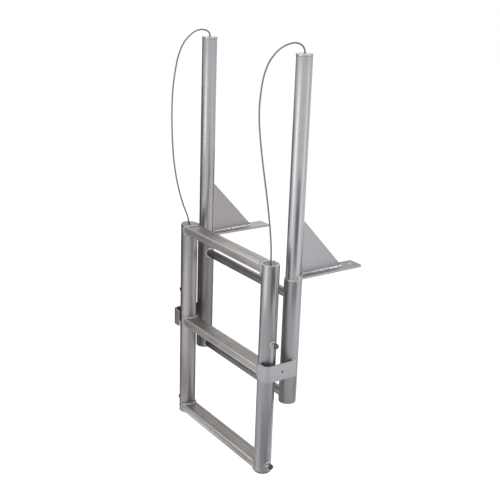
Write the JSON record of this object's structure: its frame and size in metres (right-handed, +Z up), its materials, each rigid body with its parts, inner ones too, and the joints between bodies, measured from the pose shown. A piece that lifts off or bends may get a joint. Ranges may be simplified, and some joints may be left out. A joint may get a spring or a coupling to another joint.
{
  "type": "dock ladder",
  "caption": "Sliding metal dock ladder: tubular handrail uprights on bolted deck brackets, with a ribbed-step ladder that lifts in guide straps and two safety cables.",
  "frame": {"origin": "middle of the free underside of the left deck plate, where it rests on the dock; the left upright's axis is 126.7 mm in front of it", "axes": "+Z up along the uprights, +X from the left upright to the right one as seen from the water, +Y back over the dock"},
  "size_m": [0.5196, 0.3619, 1.2334],
  "materials": {
    "handrail": "polished",
    "frame": "satin mill",
    "plate": "satin mill",
    "ladder": "satin mill",
    "step": "ribbed satin mill",
    "plug": "matte",
    "fastener": "plain",
    "cable": "twisted strand"
  },
  "bodies": {
    "deck_frame": {"left_handrail": "handrail", "right_handrail": "handrail", "left_handrail_cap": "handrail", "right_handrail_cap": "handrail", "left_sleeve": "frame", "right_sleeve": "frame", "upper_cross_tube": "frame", "lower_cross_tube": "frame", "left_deck_plate": "plate", "right_deck_plate": "plate", "left_gusset": "plate", "right_gusset": "plate", "left_guide_strap": "plate", "right_guide_strap": "plate", "left_cable": "cable", "right_cable": "cable"},
    "ladder": {"left_rail": "ladder", "right_rail": "ladder", "top_step": "step", "middle_step": "step", "bottom_step": "step", "left_rail_foot": "plug", "right_rail_foot": "plug", "left_upper_stop": "fastener", "right_upper_stop": "fastener", "left_lower_stop": "fastener", "right_lower_stop": "fastener", "left_upper_stop_bolt": "fastener", "right_upper_stop_bolt": "fastener", "left_lower_stop_bolt": "fastener", "right_lower_stop_bolt": "fastener", "left_cable_anchor": "fastener", "right_cable_anchor": "fastener"}
  },
  "joints": [
    {"name": "ladder_slide", "type": "slide", "parent": "deck_frame", "child": "ladder", "axis": [0, 0, 1], "range_m": [-0.0495, 0.26], "deforming": ["left_cable", "right_cable"]}
  ]
}
